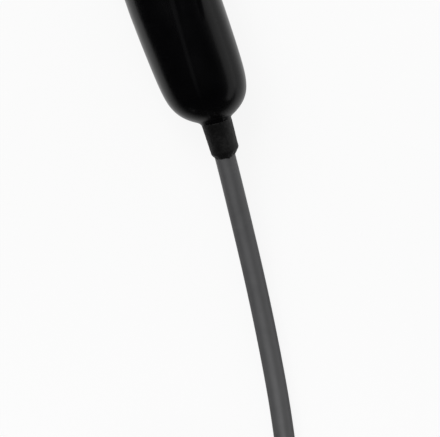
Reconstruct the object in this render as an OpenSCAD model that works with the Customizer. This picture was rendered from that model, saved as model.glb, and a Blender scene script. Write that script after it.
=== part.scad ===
// Air-driven shutter release: a rubber squeeze bulb, a rubber hose and a plunger unit
// that screws into a camera's release socket.
// The origin is the centre of the threaded tip's seat face, +X runs out along the tip
// and +Z is up. Everything lies on one flat surface.

/* [Hose] */
// Outside diameter of the hose
hose_d = 6.35; // [5:0.05:7]
// Bore of the hose
hose_bore = 3; // [2:0.25:3.5]
// Air between two turns of the coil
coil_gap = 0.5; // [0.45:0.05:1]
// Radius of the coil's outermost turn, at the middle of the hose
coil_outer_r = 37; // [37:0.5:39]

/* [Tie] */
// Width of the rubber band that holds the coil together
tie_w = 5; // [3:0.5:6]
// Thickness of the rubber band
tie_wall = 0.6; // [0.4:0.1:0.8]

/* [Bulb] */
// Widest diameter of the bulb
bulb_d = 28; // [24:0.5:31]
// Length of the bulb over both domes
bulb_len = 79.2; // [70:0.4:90]
// Rubber thickness of the bulb
bulb_wall = 2.2; // [1.6:0.1:3]
// Share of its radius that the barrel loses towards each end
bulb_taper = 0.10; // [0:0.01:0.15]

/* [Neck] */
// Length of the rubber neck over the hose
neck_len = 8.2; // [6:0.2:9]
// Rubber thickness of the neck
neck_wall = 0.8; // [0.7:0.05:1.1]
// How far the bead at the neck's root stands out past the collar
bead_proud = 0.1; // [0.05:0.05:0.6]
// Length of the collar
collar_len = 10.2; // [9.6:0.1:11]
// Rubber thickness of the collar
collar_wall = 0.6; // [0.5:0.02:0.9]
// Length of the collar's rounded rim
collar_rim = 3.2; // [2.6:0.1:3.6]
// Wall of the metal nipple inside the neck
nipple_wall = 0.4; // [0.3:0.05:0.6]
// Droop of the neck below level, in degrees
neck_droop = 14; // [10:0.5:16]

/* [Barrel] */
// Outside diameter of the barrel
barrel_d = 11; // [10.4:0.1:11.6]
// Bore of the barrel
barrel_bore = 8.8; // [8.4:0.1:9.2]
// Length of the barrel
barrel_len = 27; // [26:0.5:31]
// Diameter of the vent hole in the barrel
vent_d = 1.2; // [0.8:0.1:1.6]

/* [Caps] */
// Diameter of both end caps, which the unit lies on
cap_d = 12; // [11.8:0.1:13]
// Length of the rear cap's knurled flange
rear_flange = 5; // [4:0.2:7]
// Length of the rear cap's plug in the barrel
rear_plug = 4; // [3:0.2:5]
// Diameter of the air hole in the rear cap
air_hole_d = 1.4; // [1:0.1:1.8]
// Thickness of the gasket under the rear flange
gasket_h = 0.6; // [0.4:0.1:1]
// Length of the hose barb
barb_len = 9; // [7:0.5:11]
// Diameter of the barb over its ridges
barb_d = 4.2; // [3.8:0.1:4.4]
// Number of ridges on the barb
barb_ridges = 3; // [2:1:4]
// Length of the nose cap's full-width band
nose_band = 3.6; // [3.2:0.2:5]
// Length of the nose cap's cone
nose_cone = 3.2; // [2:0.2:5]
// Diameter of the small end of the nose cone
nose_small_d = 7; // [6.6:0.1:7.6]
// Length of the nose cap's plug in the barrel
nose_plug = 3.5; // [3:0.2:5]
// Depth of the knurling on caps, tip and lock screw
knurl_depth = 0.3; // [0.15:0.05:0.35]

/* [Ferrule] */
// Length of the ferrule on the hose
ferrule_len = 9.8; // [8.5:0.1:10.2]
// Wall of the ferrule
ferrule_wall = 0.6; // [0.4:0.05:0.8]
// Number of crimps in the ferrule
ferrule_crimps = 3; // [2:1:4]

/* [Piston] */
// Length of the piston
piston_len = 2.5; // [2:0.1:3.5]
// Length of the spring bosses on piston and nose cap
boss_len = 1.6; // [1:0.1:2]
// Thickness of the cup seal
cup_h = 0.8; // [0.6:0.1:1]
// Length of the cup seal's lip
cup_lip = 1.3; // [0.8:0.1:1.8]
// Thickness of the washer behind the cup
washer_h = 0.4; // [0.3:0.1:0.6]
// Width across the flats of the piston nut
nut_af = 3.2; // [3:0.1:4]
// Thickness of the piston nut
nut_h = 1.4; // [1:0.1:1.6]
// Travel of the plunger
travel = 6; // [4:0.5:6.5]

/* [Rod and spring] */
// Diameter of the plunger rod
rod_d = 1.6; // [1.4:0.1:1.8]
// Wire diameter of the return spring
wire_d = 0.5; // [0.4:0.05:0.6]
// Number of turns of the return spring
spring_turns = 8; // [6:1:9]

/* [Tip] */
// Length of the tapered thread
thread_len = 5; // [4:0.5:6]
// Diameter of the thread at the seat
thread_big_d = 3.6; // [3.2:0.1:3.8]
// Diameter of the thread at its end
thread_small_d = 2.9; // [2.7:0.1:3.1]
// Diameter of the tip's finger ring
ring_d = 8; // [7.6:0.1:9]
// Length of the tip's finger ring
ring_len = 4; // [4:0.2:6]
// Diameter of the spigot that the tip turns on
spigot_d = 4.6; // [4.4:0.1:4.8]
// Length of the spigot inside the tip
spigot_len = 2.8; // [2.6:0.1:3]
// Thickness of the snap ring
snap_h = 0.4; // [0.3:0.05:0.5]

/* [Lock] */
// Diameter of the lock screw's thread
lock_d = 2; // [1.8:0.1:2.4]
// Diameter of the lock screw's head
lock_head_d = 5; // [4:0.2:6]
// Height of the lock screw's head
lock_head_h = 2.6; // [2:0.2:4]
// Height of the brass shoe under the screw
shoe_h = 0.9; // [0.7:0.1:1.2]
// Height that the lock screw moves from open to tight
lock_travel = 0.35; // [0.2:0.05:0.5]

/* [Hidden] */
$fn = 64;

// Clearances
cut = 0.1;          // overshoot of a cut past the face it opens
fixed_fit = 0.02;   // radial, between pieces that are pressed or screwed together
slide_fit = 0.05;   // radial, between pieces that slide or turn in each other
loose_fit = 0.15;   // radial, where a moving piece only has to pass
end_gap = 0.3;      // along the axis, between pieces that move apart
wrap_fit = 0.3;     // across the coil, between the straight tie and the curved turns

// Colours
rubber_black = "#111112";
rubber_rough = "#1d1d1e";
rubber_grey = "#55575a";
nickel = "#b9b7b0";
brass = "#b08d4a";
steel = "#8f9296";
leather = "#6b4a2e";

// Lengths along the plunger unit, back from the seat face at x = 0
ring_back = -ring_len;
nose_front = ring_back - end_gap;
band_front = nose_front - nose_cone;
barrel_front = band_front - nose_band;
barrel_back = barrel_front - barrel_len;
nose_seat = barrel_front - nose_plug;
rear_front = barrel_back + rear_plug;
flange_front = barrel_back - gasket_h;
flange_back = flange_front - rear_flange;
barb_back = flange_back - barb_len;
hose_cut = flange_back - end_gap;
hose_in = barb_back - 3.4;
rod_back = rear_front + end_gap;
nut_back = rod_back + 0.3;
washer_back = nut_back + nut_h;
cup_back = washer_back + washer_h;
piston_back = cup_back + cup_h;
piston_front = piston_back + piston_len;
rod_tip = thread_len - end_gap;
lock_x = band_front - nose_band / 2;

// Radii of the plunger unit
rod_hole_r = rod_d / 2 + slide_fit;
piston_r = barrel_bore / 2 - loose_fit;
plug_r = barrel_bore / 2 - fixed_fit;
boss_r = rod_d / 2 + 1.4;
spring_r = boss_r + wire_d / 2 + 0.45;
groove_depth = 0.35;
snap_inner_r = spigot_d / 2 - groove_depth + slide_fit;
snap_outer_r = spigot_d / 2 + groove_depth;
snap_x = ring_back + 1.1;
barb_root_r = barb_d / 2 - 0.35;
hose_fat_r = barb_d / 2 + 1.25;

// The lock screw, up from the rod
shoe_z = rod_d / 2 + lock_travel + slide_fit;
screw_z = shoe_z + shoe_h + slide_fit;
head_z = cap_d / 2 + lock_travel + 0.25;
dimple_r = 0.5;
dimple_h = 0.45;

// The surface that everything lies on, and the hose's height on it
floor_z = -cap_d / 2;
hose_r = hose_d / 2;
hose_z = floor_z + hose_r;

// The bulb, its neck and the hose's exit from the neck
bulb_turn = 110.1;           // bearing of the bulb's axis towards its neck, in degrees from +X
neck_turn = 105;             // bearing of the neck
bulb_aside = 0.17;           // from the neck's root to the bulb's axis, sideways
root_inset = 1;              // from the dome's apex back to the neck's root
neck_back = 1.6;             // how far the neck reaches back into the dome
hose_start = 0.6;            // where the hose begins inside the neck
collar_start = 1.1;          // where the collar begins on the neck
collar_end = collar_start + collar_len;
hose_exit = collar_end + 1;  // end of the piece of hose inside the collar
neck_r = hose_r + neck_wall;
collar_r = neck_r + collar_wall;
bulb_z = floor_z + bulb_d / 2;
bulb_dir = [cos(bulb_turn), sin(bulb_turn), 0];
bulb_side = [-sin(bulb_turn), cos(bulb_turn), 0];
neck_dir = [cos(neck_turn) * cos(neck_droop), sin(neck_turn) * cos(neck_droop), -sin(neck_droop)];
exit_xy = [-57.5, -174.7];
exit_z = bulb_z - hose_exit * sin(neck_droop);
exit_point = [exit_xy.x, exit_xy.y, exit_z];
neck_root = exit_point - hose_exit * neck_dir;
bulb_centre = neck_root - (bulb_len / 2 - root_inset) * bulb_dir + bulb_aside * bulb_side;

// The bulb's outline: a long barrel that turns into blunt domes, with the domes' tips rounded
dome_power = 10;
rim_power = 1;
tip_round = 0.6;             // height that the rounding takes off the tip
tip_r = 4.6;                 // radius of the rounded part
taper_power = 1.5;
outline_steps = 16;

// The coil: a flat spiral in on the surface, a climb in the half turn where it reverses,
// and a spiral out again on top
coil_centre = [-40, -47];
coil_turns = 3.875;
coil_rings = 24;             // rings in one turn
coil_start_angle = 180;
turn_in = 0.15;              // turns over which the spiral reverses, on each side of its middle
climb_in = 0.25;             // turns of the climb, on each side of the coil's middle
pitch = hose_d + coil_gap;
coil_mid_r = coil_outer_r - pitch * coil_turns / 2;

// The tie: it sits where the turns of both layers lie exactly above each other, and the coil
// passes over it in a low hump
tie_turn = (coil_turns - floor(coil_turns)) / 2;
tie_lift = tie_wall + slide_fit;
hump_flat = 0.03;            // turns of the hump's level top, on each side of the tie
hump_reach = 0.14;           // turns to the hump's foot, on each side of the tie

// Route of the hose from the collar to the coil: x, y, and the share of the exit's height
run_route = [
    [-60.3, -162, 0.62], [-63.2, -150, 0.35], [-66, -138, 0.15], [-68.6, -126, 0.04],
    [-71, -114, 0], [-73.2, -102, 0], [-75, -90, 0], [-76.4, -78, 0], [-77.1, -66, 0]
];
// Route of the hose down from the coil, over the run, to the surface: x and y from the hose's
// end in the plunger unit, and the share of the height between the coil's two layers
drop_route = [
    [-18.3, -65.2, 1.03], [-23.3, -59, 1.015], [-27, -52, 0.71], [-29.3, -44.6, 0.34],
    [-30, -37, 0.09], [-30, -30, 0]
];
// Route on to the plunger unit: x and y as above, and the share of the rise to the unit's axis
rise_route = [
    [-30, -24, 0], [-28.2, -15, 0], [-23, -7, 0.2], [-15.2, -1.8, 0.63], [-10, -0.3, 0.9],
    [-6, 0, 1]
];
run_sides = 10;
coil_sides = 6;

// ---- Functions ----

function unit(v) = v / norm(v);

// Radius of the bulb's outline and distance along it at angle t from 0 to 90 degrees
function outline_x(half, t) = half * pow(sin(t), 2 / dome_power);
function outline_r(half, r, t) =
    r * (1 - bulb_taper * pow(outline_x(half, t) / half, taper_power)) * pow(cos(t), 2 / rim_power);
function outline_angle(k) = 90 * pow(k / outline_steps, 2);
function outline(half, r) =
    [for (k = [-outline_steps : outline_steps])
        let (
            t = outline_angle(abs(k)),
            out = outline_r(half + tip_round, r, t),
            round_off = tip_round * pow(max(0, 1 - out / tip_r), 2)
        )
        [out, sign(k) * (outline_x(half + tip_round, t) - round_off)]];

// Points of a quarter of an ellipse from [0, b] to [a, 0], for rounded rims
function quarter(a, b, steps = 8) =
    [for (k = [0 : steps]) [a * sin(90 * k / steps), b * cos(90 * k / steps)]];

// A point of the coil's middle line, by turns from its start
function soft_abs(u) = abs(u) < turn_in ? u * u / (2 * turn_in) + turn_in / 2 : abs(u);
function smooth(u) = let (c = max(0, min(1, u))) c * c * (3 - 2 * c);
function coil_point(turns) =
    let (
        past = turns - coil_turns / 2,
        r = coil_mid_r + pitch * soft_abs(past),
        a = coil_start_angle - 360 * turns,
        climb = smooth((past + climb_in) / (2 * climb_in))
    )
    [coil_centre.x + r * cos(a), coil_centre.y + r * sin(a), hose_z + pitch * climb + hump(turns)];
function hump(turns) =
    let (off = abs(turns - tie_turn - round(turns - tie_turn)))
    tie_lift * smooth((hump_reach - off) / (hump_reach - hump_flat));
coil_steps = round(coil_turns * coil_rings);
coil_loops = [for (k = [0 : coil_steps]) coil_point(coil_turns * k / coil_steps)];
coil_in_dir = unit(coil_loops[1] - coil_loops[0]);
coil_out_dir = unit(coil_loops[coil_steps] - coil_loops[coil_steps - 1]);
coil_in = coil_loops[0] - hose_d * coil_in_dir;
coil_out = coil_loops[coil_steps] + hose_d * coil_out_dir;
coil_path = concat([coil_in], coil_loops, [coil_out]);

run_path = concat(
    [exit_point],
    [for (p = run_route) [p.x, p.y, hose_z + p.z * (exit_z - hose_z)]],
    [coil_in]
);
tail_path = concat(
    [coil_out],
    [for (p = drop_route) [hose_in + p.x, p.y, hose_z + p.z * pitch]],
    [for (p = rise_route) [hose_in + p.x, p.y, hose_z - p.z * hose_z]],
    [[hose_in, 0, 0]]
);

// Rings of a round tube along a path that is never steep, and its triangles
function ring(p, dir, r, sides) =
    let (side = unit(cross(dir, [0, 0, 1])), up = cross(side, dir))
    [for (k = [0 : sides - 1]) p + r * (cos(90 + 360 * k / sides) * side + sin(90 + 360 * k / sides) * up)];
function path_dir(path, k) = unit(path[min(k + 1, len(path) - 1)] - path[max(k - 1, 0)]);
function tube_points(path, r, sides, first, last) = [
    for (k = [0 : len(path) - 1])
        let (dir = k == 0 ? first : k == len(path) - 1 ? last : path_dir(path, k))
        each ring(path[k], dir, r, sides)
];
function tube_faces(rings, sides) = concat(
    [for (i = [0 : rings - 2], k = [0 : sides - 1])
        let (a = i * sides + k, b = i * sides + (k + 1) % sides)
        each [[a, a + sides, b + sides], [a, b + sides, b]]],
    [for (k = [1 : sides - 2]) each [
        [0, k, k + 1],
        [(rings - 1) * sides, (rings - 1) * sides + k + 1, (rings - 1) * sides + k]
    ]]
);

function path_length(path) =
    path_sum([for (k = [1 : len(path) - 1]) norm(path[k] - path[k - 1])]);
function path_sum(v, k = 0) = k == len(v) ? 0 : v[k] + path_sum(v, k + 1);

// Least distance between the surfaces of stretches of the coil more than half a turn apart
function coil_least_gap() = min([
    for (i = [0 : coil_steps], k = [i + coil_rings / 2 : 1 : coil_steps])
        norm(coil_loops[i] - coil_loops[k])
]) - hose_d;
echo(coil_least_gap = coil_least_gap());
echo(hose_length = path_length(run_path) + path_length(coil_path) + path_length(tail_path));

// A point of the return spring's wire, by turns from its front end: one closed turn at each end
function spring_share(turns) =
    turns < 1 ? 0 : turns > spring_turns - 1 ? 1 : (turns - 1) / (spring_turns - 2);
function spring_x(turns, front, back) =
    front - wire_d * min(turns, 1) - wire_d * max(0, turns - spring_turns + 1)
    - (front - back - 2 * wire_d) * spring_share(turns);
spring_rings = 8;

// ---- Helper modules ----

// Turns what is drawn up the Z axis to lie along +X
module along_x() {
    rotate([0, 90, 0]) children();
}

module rod_x(x0, x1, r) {
    translate([x0, 0, 0]) along_x() cylinder(h = x1 - x0, r = r);
}

module tube_x(x0, x1, outer, inner) {
    difference() {
        rod_x(x0, x1, outer);
        rod_x(x0 - cut, x1 + cut, inner);
    }
}

// A revolve about the X axis; each point is [x, radius]
module revolve_x(points) {
    along_x() rotate_extrude() polygon([for (p = points) [p.y, p.x]]);
}

// A straight-knurled disc up the Z axis: a fluted band between two bevelled rims
module knurled(d, h, flutes, rim = 0.4) {
    rim_r = d / 2 - knurl_depth - 0.05;
    translate([0, 0, rim]) linear_extrude(height = h - 2 * rim)
        polygon([for (k = [0 : 2 * flutes - 1])
            (d / 2 - (k % 2) * knurl_depth) * [cos(180 * k / flutes), sin(180 * k / flutes)]]);
    rotate_extrude() polygon([
        [0, 0], [rim_r - rim / 2, 0], [rim_r, rim], [rim_r, h - rim], [rim_r - rim / 2, h], [0, h]
    ]);
}

// A square whose corners are arcs about the four points at the given reach from its middle
module round_square(reach, r, steps = 8) {
    polygon([
        for (q = [0 : 3], k = [0 : steps])
            let (a = 90 * q + 90 * k / steps)
            [(q == 0 || q == 3 ? 1 : -1) * reach.x + r * cos(a), (q < 2 ? 1 : -1) * reach.y + r * sin(a)]
    ]);
}

module sweep(path, r, sides, first, last) {
    polyhedron(
        points = tube_points(path, r, sides, first, last),
        faces = tube_faces(len(path), sides),
        convexity = 10
    );
}

module at_bulb() {
    translate(bulb_centre) rotate([0, 0, bulb_turn]) children();
}

module at_neck() {
    translate(neck_root) rotate([0, neck_droop, neck_turn]) children();
}

// ---- Bulb end ----

module bulb() {
    color(rubber_black) difference() {
        union() {
            at_bulb() along_x() rotate_extrude() polygon(outline(bulb_len / 2, bulb_d / 2));
            at_neck() {
                rod_x(-neck_back, neck_len, neck_r);
                revolve_x(concat(
                    [[-neck_back, 0], [-neck_back, collar_r + bead_proud]],
                    [for (p = quarter(bead_proud + 0.2, bead_proud + 0.2, 4))
                        [collar_start - 0.6 + p.x, collar_r - 0.2 + p.y]],
                    [[collar_start - 0.1, 0]]
                ));
            }
        }
        at_bulb() along_x() rotate_extrude()
            polygon(outline(bulb_len / 2 - bulb_wall, bulb_d / 2 - bulb_wall));
        at_neck() rod_x(hose_start, neck_len + cut, hose_r + fixed_fit);
        at_neck() rod_x(-2 * bulb_wall, hose_start + cut, hose_bore / 2 + fixed_fit);
    }
}

module bulb_nipple() {
    nipple_r = hose_bore / 2 - fixed_fit;
    bore_r = nipple_r - nipple_wall;
    flange_x = -bulb_wall - 1.8;
    color(brass) at_neck() difference() {
        union() {
            rod_x(flange_x, neck_len + 0.8, nipple_r);
            rod_x(flange_x, flange_x + 0.6, nipple_r + 0.9);
        }
        rod_x(flange_x - cut, neck_len + 1, bore_r);
    }
}

module neck_collar() {
    rim_h = collar_r - hose_r - fixed_fit - 0.2;
    color(rubber_rough) at_neck() difference() {
        revolve_x(concat(
            [[collar_start, 0], [collar_start, collar_r - 0.25], [collar_start + 0.25, collar_r]],
            [for (p = quarter(collar_rim, rim_h))
                [collar_end - collar_rim + p.x, collar_r - rim_h + p.y]],
            [[collar_end, 0]]
        ));
        rod_x(collar_start - cut, neck_len + fixed_fit, neck_r + fixed_fit);
        rod_x(neck_len, collar_end + cut, hose_r + fixed_fit);
    }
}

module hose_bulb_end() {
    color(rubber_grey) at_neck() tube_x(hose_start, hose_exit, hose_r, hose_bore / 2);
}

// ---- Hose ----

module hose_run() {
    color(rubber_grey) sweep(run_path, hose_r, run_sides, neck_dir, coil_in_dir);
}

module hose_coil() {
    color(rubber_grey) sweep(coil_path, hose_r, coil_sides, coil_in_dir, coil_out_dir);
}

// Rubber band round the four turns that lie above and beside each other at its place
module coil_tie() {
    under = coil_point(tie_turn);
    side_r = norm([under.x - coil_centre.x, under.y - coil_centre.y]) - pitch / 2;
    turn_angle = coil_start_angle - 360 * tie_turn;
    reach = [pitch / 2 + wrap_fit, pitch / 2];
    inner_r = hose_r + slide_fit;
    color(rubber_black) translate([coil_centre.x, coil_centre.y, 0]) rotate([0, 0, turn_angle])
        translate([side_r, tie_w / 2, under.z + pitch / 2]) rotate([90, 0, 0])
            difference() {
                linear_extrude(height = tie_w) round_square(reach, inner_r + tie_wall);
                translate([0, 0, -cut]) linear_extrude(height = tie_w + 2 * cut) round_square(reach, inner_r);
            }
}

module hose_tail() {
    color(rubber_grey) sweep(tail_path, hose_r, run_sides, coil_out_dir, [1, 0, 0]);
}

// The end of the hose, stretched over the barb
module hose_tip_end() {
    neck_in = barb_back - 1;
    color(rubber_grey) difference() {
        revolve_x([
            [hose_in, 0], [hose_in, hose_r], [neck_in - 1, hose_r],
            [neck_in + 0.6, hose_fat_r], [hose_cut, hose_fat_r], [hose_cut, 0]
        ]);
        rod_x(hose_in - cut, hose_cut + cut, hose_bore / 2);
        rod_x(barb_back - fixed_fit, hose_cut + cut, barb_d / 2 + fixed_fit);
    }
}

module hose_ferrule() {
    inner_r = hose_fat_r + fixed_fit;
    outer_r = inner_r + ferrule_wall;
    front = hose_cut - 0.2;
    back = front - ferrule_len;
    crimp_step = ferrule_len / (ferrule_crimps + 1);
    crimp_r = ferrule_wall * 0.8;
    color(nickel) difference() {
        revolve_x([
            [back, 0], [back, outer_r - 0.2], [back + 0.2, outer_r],
            [front - 0.2, outer_r], [front, outer_r - 0.2], [front, 0]
        ]);
        rod_x(back - cut, front + cut, inner_r);
        for (k = [1 : ferrule_crimps])
            translate([back + k * crimp_step, 0, 0]) along_x()
                rotate_extrude() translate([outer_r + crimp_r / 3, 0]) circle(r = crimp_r);
    }
}

// ---- Plunger unit ----

// Screw-in cap with the hose barb
module rear_cap() {
    ridge = barb_len * 0.8 / barb_ridges;
    color(nickel) difference() {
        union() {
            translate([flange_back, 0, 0]) along_x() knurled(cap_d, rear_flange, 36);
            rod_x(flange_front - cut, rear_front, plug_r);
            rod_x(barb_back, flange_back + cut, barb_root_r);
            for (k = [0 : barb_ridges - 1])
                translate([barb_back + k * ridge, 0, 0]) along_x()
                    cylinder(h = ridge * 0.8, r1 = barb_root_r - 0.1, r2 = barb_d / 2);
        }
        rod_x(barb_back - cut, rear_front + cut, air_hole_d / 2);
    }
}

module cap_gasket() {
    color(rubber_black) tube_x(flange_front + fixed_fit, barrel_back - fixed_fit, barrel_d / 2 - 0.2, plug_r + loose_fit);
}

// Tube in which the piston runs, vented ahead of the piston's whole travel
module barrel() {
    vent_x = piston_front + boss_len + travel + 2 * vent_d;
    color(nickel) difference() {
        rod_x(barrel_back, barrel_front, barrel_d / 2);
        rod_x(barrel_back - cut, barrel_front + cut, barrel_bore / 2);
        translate([vent_x, 0, 0]) rotate([90, 0, 0]) cylinder(h = barrel_d, d = vent_d);
    }
}

// Front cap: guides the rod, carries the lock screw and holds the tip's spigot
module nose_cap() {
    spigot_front = ring_back + spigot_len;
    groove_w = snap_h + 2 * slide_fit;
    color(nickel) difference() {
        union() {
            translate([barrel_front, 0, 0]) along_x() knurled(cap_d, nose_band, 36);
            translate([band_front, 0, 0]) along_x()
                cylinder(h = nose_cone, r1 = cap_d / 2 - 0.5, r2 = nose_small_d / 2);
            rod_x(nose_seat, barrel_front + cut, plug_r);
            rod_x(nose_seat - boss_len, nose_seat + cut, boss_r);
            rod_x(nose_front - cut, spigot_front, spigot_d / 2);
        }
        rod_x(nose_seat - boss_len - cut, spigot_front + cut, rod_hole_r);
        tube_x(snap_x - groove_w / 2, snap_x + groove_w / 2, spigot_d, spigot_d / 2 - groove_depth);
        translate([lock_x, 0, 0]) cylinder(h = cap_d, r = lock_d / 2 + slide_fit);
    }
}

module return_spring() {
    front = nose_seat - wire_d / 2 - fixed_fit;
    back = piston_front + wire_d / 2 + fixed_fit;
    steps = spring_turns * spring_rings;
    path = [for (k = [0 : steps])
        [spring_x(k / spring_rings, front, back), spring_r * cos(360 * k / spring_rings),
            spring_r * sin(360 * k / spring_rings)]];
    rings = [for (k = [0 : steps])
        let (a = 360 * k / spring_rings, out = [0, cos(a), sin(a)])
        for (s = [0 : 5])
            path[k] + wire_d / 2 * (cos(60 * s) * out + sin(60 * s) * [1, 0, 0])];
    color(steel) polyhedron(points = rings, faces = tube_faces(steps + 1, 6), convexity = 10);
}

module piston() {
    color(brass) difference() {
        union() {
            rod_x(piston_back, piston_front, piston_r);
            rod_x(piston_front - cut, piston_front + boss_len, boss_r);
        }
        rod_x(piston_back - cut, piston_front + boss_len + cut, rod_d / 2 + fixed_fit);
    }
}

// Leather cup whose lip the air presses against the barrel
module piston_cup() {
    lip_r = barrel_bore / 2 - slide_fit;
    color(leather) difference() {
        revolve_x([
            [cup_back - cup_lip, 0], [cup_back - cup_lip, lip_r - 0.15], [cup_back, lip_r],
            [piston_back - 0.3, lip_r], [piston_back, lip_r - 0.3], [piston_back, 0]
        ]);
        rod_x(cup_back - cup_lip - cut, cup_back, lip_r - cup_h);
        rod_x(cup_back - cut, piston_back + cut, rod_d / 2 + fixed_fit);
    }
}

module cup_washer() {
    color(brass) tube_x(washer_back, cup_back, barrel_bore / 2 - cup_h - 0.5, rod_d / 2 + fixed_fit);
}

module piston_nut() {
    color(steel) difference() {
        translate([nut_back, 0, 0]) along_x() cylinder(h = nut_h, d = nut_af / cos(30), $fn = 6);
        rod_x(nut_back - cut, washer_back + cut, rod_d / 2 + fixed_fit);
    }
}

module plunger_rod() {
    nose_r = rod_d / 2;
    color(steel) revolve_x(concat(
        [[rod_back, 0], [rod_back, nose_r - 0.2], [rod_back + 0.2, nose_r]],
        [for (p = quarter(nose_r * 0.7, nose_r * 0.6, 5)) [rod_tip - nose_r * 0.7 + p.x, nose_r * 0.4 + p.y]],
        [[rod_tip, 0]]
    ));
}

// ---- Swivelling tip ----

module threaded_tip() {
    socket_end = ring_back + spigot_len + end_gap;
    groove_w = snap_h + 2 * slide_fit;
    color(nickel) difference() {
        union() {
            translate([ring_back, 0, 0]) along_x() knurled(ring_d, ring_len, 24, 0.3);
            translate([-cut, 0, 0]) along_x()
                cylinder(h = thread_len + cut, r1 = thread_big_d / 2, r2 = thread_small_d / 2);
        }
        rod_x(ring_back - cut, socket_end, spigot_d / 2 + slide_fit);
        rod_x(socket_end - cut, thread_len + cut, rod_d / 2 + loose_fit);
        rod_x(snap_x - groove_w / 2, snap_x + groove_w / 2, snap_outer_r + slide_fit);
    }
}

// Split ring that keeps the tip on the spigot
module tip_snap_ring() {
    color(steel) difference() {
        tube_x(snap_x - snap_h / 2, snap_x + snap_h / 2, snap_outer_r, snap_inner_r);
        translate([snap_x - snap_h, -0.5, -spigot_d]) cube([2 * snap_h, 1, spigot_d]);
    }
}

// ---- Lock ----

// Brass shoe that keeps the screw off the rod
module lock_pad() {
    color(brass) translate([lock_x, 0, shoe_z]) difference() {
        cylinder(h = shoe_h, r = lock_d / 2 - slide_fit);
        translate([0, 0, shoe_h - dimple_h]) cylinder(h = dimple_h + cut, r = dimple_r);
    }
}

module lock_screw() {
    color(nickel) translate([lock_x, 0, 0]) {
        translate([0, 0, head_z]) knurled(lock_head_d, lock_head_h, 16, 0.3);
        translate([0, 0, screw_z]) cylinder(h = head_z - screw_z + cut, r = lock_d / 2);
        translate([0, 0, screw_z - dimple_h + slide_fit])
            cylinder(h = dimple_h + cut, r = dimple_r - slide_fit);
    }
}

// ---- The model ----

bulb();
bulb_nipple();
neck_collar();
hose_bulb_end();
hose_run();
hose_coil();
coil_tie();
hose_tail();
hose_tip_end();
hose_ferrule();
rear_cap();
cap_gasket();
barrel();
nose_cap();
return_spring();
piston();
piston_cup();
cup_washer();
piston_nut();
plunger_rod();
threaded_tip();
tip_snap_ring();
lock_pad();
lock_screw();
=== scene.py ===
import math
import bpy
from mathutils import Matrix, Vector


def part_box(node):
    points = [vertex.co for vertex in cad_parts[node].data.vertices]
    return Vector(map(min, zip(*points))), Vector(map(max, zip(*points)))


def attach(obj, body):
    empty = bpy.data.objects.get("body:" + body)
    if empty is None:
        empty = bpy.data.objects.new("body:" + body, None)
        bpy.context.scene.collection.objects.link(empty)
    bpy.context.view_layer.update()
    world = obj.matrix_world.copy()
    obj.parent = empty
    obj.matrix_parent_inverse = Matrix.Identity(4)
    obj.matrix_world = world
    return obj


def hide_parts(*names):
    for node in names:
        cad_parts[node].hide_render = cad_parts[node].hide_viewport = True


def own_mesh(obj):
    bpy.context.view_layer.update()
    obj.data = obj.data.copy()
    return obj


bl_info = {
    "name": "Air-Driven Shutter Release",
    "version": (1, 0, 0),
    "blender": (4, 5, 0),
    "location": "View3D > Sidebar > Air Release",
    "description": "Rubber squeeze bulb, rubber hose and plunger unit, built around their solids",
    "category": "Object",
}

from functools import partial

import bmesh
import bpy
from bpy.props import FloatProperty, FloatVectorProperty, IntProperty, PointerProperty
from mathutils import Matrix, Vector, noise

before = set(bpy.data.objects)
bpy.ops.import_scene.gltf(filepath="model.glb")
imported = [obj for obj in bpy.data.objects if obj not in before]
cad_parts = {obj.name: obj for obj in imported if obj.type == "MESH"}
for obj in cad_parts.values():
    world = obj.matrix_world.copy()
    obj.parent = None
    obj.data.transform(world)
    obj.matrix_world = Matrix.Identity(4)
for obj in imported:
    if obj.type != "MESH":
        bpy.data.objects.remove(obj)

MM = 0.001
UP = Vector((0, 0, 1))

# The solids' own sizes, in metres, that the looks start from
HOSE_RADIUS = 3.175 * MM
FLOOR_Z = -6 * MM
BULB_HALF = 40.2 * MM  # to the domes' tips before they are rounded
BULB_RADIUS = 14 * MM
BULB_TAPER = 0.112  # the share of its radius that the bulb loses towards each dome
TIP_ROUND, TIP_RADIUS = 0.6 * MM, 4.6 * MM
BULB_TURN = math.radians(110.1)
NECK_TURN, NECK_DROOP = math.radians(105), math.radians(14)
HOSE_EXIT = 12.3 * MM  # where the hose leaves the neck, along the neck from its root
COLLAR_END, COLLAR_RADIUS = 11.3 * MM, 4.575 * MM
COLLAR_BACK, COLLAR_RIM = -0.25 * MM, 2.1 * MM  # where the sleeve starts, and its rim's length
HOSE_END_X = -56.1 * MM  # where the hose enters the plunger unit's ferrule
BARB_X = -54.7 * MM  # where the hose starts to swell over the barb

BARREL_X = (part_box("barrel")[0].x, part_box("barrel")[1].x)
BARREL_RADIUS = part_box("barrel")[1].z
BARREL_BORE = 4.4 * MM
VENT_X = -18.4 * MM
CAP_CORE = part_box("rear_cap")[1].z - 0.33 * MM  # the caps' radius without their ribs
CAP_PLUG = 4.38 * MM  # the part of each cap that goes into the barrel
LOCK_X = (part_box("lock_screw")[0].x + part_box("lock_screw")[1].x) / 2

HOSE_Z = FLOOR_Z + HOSE_RADIUS
BULB_Z = FLOOR_Z + BULB_RADIUS
BULB_DIR = Vector((math.cos(BULB_TURN), math.sin(BULB_TURN), 0))
BULB_LEFT = Vector((math.sin(BULB_TURN), -math.cos(BULB_TURN), 0))
NECK_DIR = Vector((
    math.cos(NECK_TURN) * math.cos(NECK_DROOP),
    math.sin(NECK_TURN) * math.cos(NECK_DROOP),
    -math.sin(NECK_DROOP),
))
EXIT_POINT = Vector((-57.5 * MM, -174.7 * MM, BULB_Z - HOSE_EXIT * math.sin(NECK_DROOP)))
NECK_ROOT = EXIT_POINT - HOSE_EXIT * NECK_DIR
BULB_CENTRE = NECK_ROOT - (BULB_HALF - TIP_ROUND - 1 * MM) * BULB_DIR - 0.17 * MM * BULB_LEFT

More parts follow.
